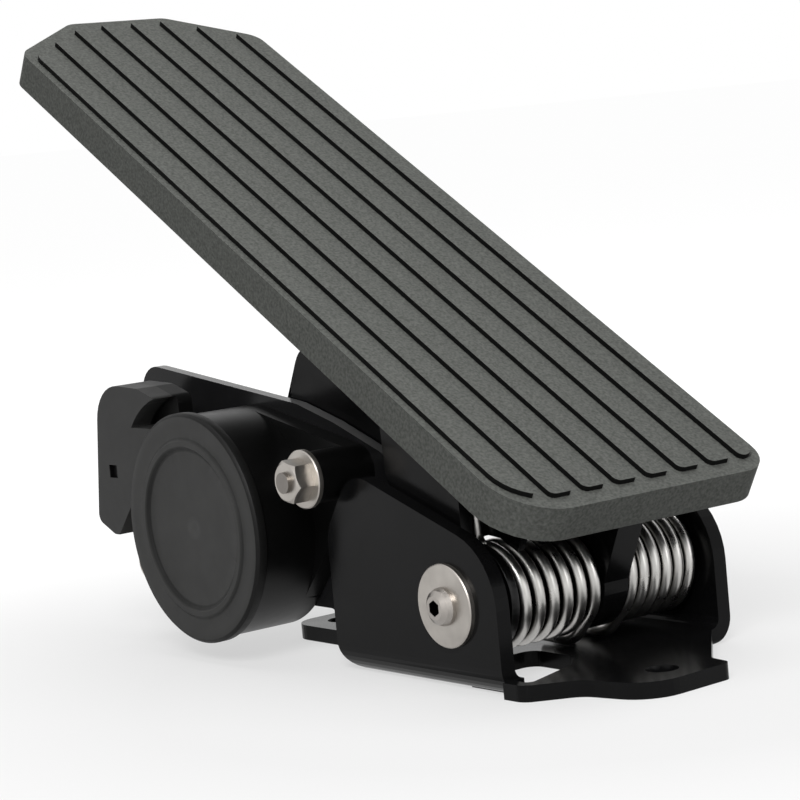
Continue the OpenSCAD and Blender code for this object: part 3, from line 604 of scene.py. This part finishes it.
def floor_material():
    """A white studio floor that shows the object's soft shadow, with a painted shadow where its glow is
    lower near the hinge.
    """
    material = bpy.data.materials.new("Floor")
    material.use_nodes = True
    tree = material.node_tree
    tree.nodes.clear()
    output = tree.nodes.new("ShaderNodeOutputMaterial")
    diffuse = tree.nodes.new("ShaderNodeBsdfDiffuse")
    glow = tree.nodes.new("ShaderNodeEmission")
    seen = seen_rays(tree)
    place = tree.nodes.new("ShaderNodeTexCoord")
    distance = tree.nodes.new("ShaderNodeVectorMath")
    distance.operation = "LENGTH"
    tree.links.new(place.outputs["Object"], distance.inputs[0])
    colour = tree.nodes.new("ShaderNodeMix")
    colour.inputs[NUMBER_A].default_value = FLOOR_BOUNCE
    tree.links.new(map_range(tree, distance.outputs["Value"], FADE, FLOOR_COLOUR), colour.inputs[NUMBER_B])
    tree.links.new(seen, colour.inputs["Factor"])
    tree.links.new(colour.outputs[NUMBER_OUT], diffuse.inputs["Color"])
    # glow rising from near the hinge to far away: a painted shadow around the object
    strength = tree.nodes.new("ShaderNodeMath")
    strength.operation = "MULTIPLY"
    tree.links.new(seen, strength.inputs[0])
    tree.links.new(map_range(tree, distance.outputs["Value"], FADE, FLOOR_GLOW), strength.inputs[1])
    tree.links.new(strength.outputs[0], glow.inputs["Strength"])
    both = tree.nodes.new("ShaderNodeAddShader")
    tree.links.new(diffuse.outputs[0], both.inputs[0])
    tree.links.new(glow.outputs[0], both.inputs[1])
    tree.links.new(both.outputs[0], output.inputs["Surface"])
    return material


def floor(level):
    """A wide flat floor at the given height."""
    half = FLOOR_SIZE / 2
    mesh = bpy.data.meshes.new("StudioFloor")
    corners = [(-half, -half, level), (half, -half, level), (half, half, level), (-half, half, level)]
    mesh.from_pydata(corners, [], [(0, 1, 2, 3)])
    mesh.materials.append(floor_material())
    piece = bpy.data.objects.new("StudioFloor", mesh)
    bpy.context.scene.collection.objects.link(piece)
    return piece


def world():
    """White to the camera and in reflections, and a light that is brighter behind the object."""
    scene_world = bpy.data.worlds.new("Studio")
    bpy.context.scene.world = scene_world
    scene_world.use_nodes = True
    tree = scene_world.node_tree
    background = tree.nodes["Background"]
    direction = tree.nodes.new("ShaderNodeTexCoord")
    away = tree.nodes.new("ShaderNodeVectorMath")
    away.operation = "DOT_PRODUCT"
    away.inputs[1].default_value = tuple(-CAMERA_BACK)
    tree.links.new(direction.outputs["Generated"], away.inputs[0])
    mix = tree.nodes.new("ShaderNodeMix")
    tree.links.new(map_range(tree, away.outputs["Value"], WORLD_TURN, WORLD_LIGHT), mix.inputs[NUMBER_A])
    mix.inputs[NUMBER_B].default_value = 1.0
    tree.links.new(seen_rays(tree), mix.inputs["Factor"])
    tree.links.new(mix.outputs[NUMBER_OUT], background.inputs["Strength"])
    background.inputs["Color"].default_value = (1, 1, 1, 1)


def area_light(name, place, aim, width, power, height):
    """A rectangular lamp that aims at a place."""
    lamp = bpy.data.lights.new(name, "AREA")
    lamp.shape = "RECTANGLE"
    lamp.size = width
    lamp.size_y = height
    lamp.energy = power
    holder = bpy.data.objects.new(name, lamp)
    bpy.context.scene.collection.objects.link(holder)
    holder.location = place
    holder.rotation_mode = "QUATERNION"
    holder.rotation_quaternion = (aim - Vector(place)).to_track_quat("-Z", "Y")
    return holder


def camera():
    """The camera at the photograph's place and angle."""
    data = bpy.data.cameras.new("PhotoCamera")
    data.sensor_width = FILM_WIDTH
    data.lens = LENS
    data.clip_start = 0.05
    data.clip_end = 50
    holder = bpy.data.objects.new("PhotoCamera", data)
    bpy.context.scene.collection.objects.link(holder)
    turn = Matrix((CAMERA_RIGHT, CAMERA_UP, CAMERA_BACK)).transposed()
    holder.matrix_world = Matrix.Translation(CAMERA_PLACE) @ turn.to_4x4()
    bpy.context.scene.camera = holder


# Build

for slot_name, nodes in SLOT_NODES.items():
    for node_name in nodes:
        dress(node_name, LOOKS[slot_name])
for node_name, edge_width in EDGE_WIDTHS.items():
    ease_edges(bpy.data.objects[node_name], edge_width)

spring("torsion_spring_left", SPRING_TURNS, True)
spring("torsion_spring_right", SPRING_TURNS, False)
treadle_details()

middle = Vector((0, 0.07, 0.06))
floor(0.0)
area_light("KeyLight", (-0.9, -0.75, 0.95), middle, 0.6, 17.5, 0.6)
area_light("TopLight", (0.15, 0.1, 1.3), middle, 1.0, 11.5, 1.0)
area_light("FrontLight", (0.2, -1.2, 0.7), middle, 0.5, 4, 1.4)
world()
camera()

scene = bpy.context.scene
scene.view_settings.view_transform = "Standard"
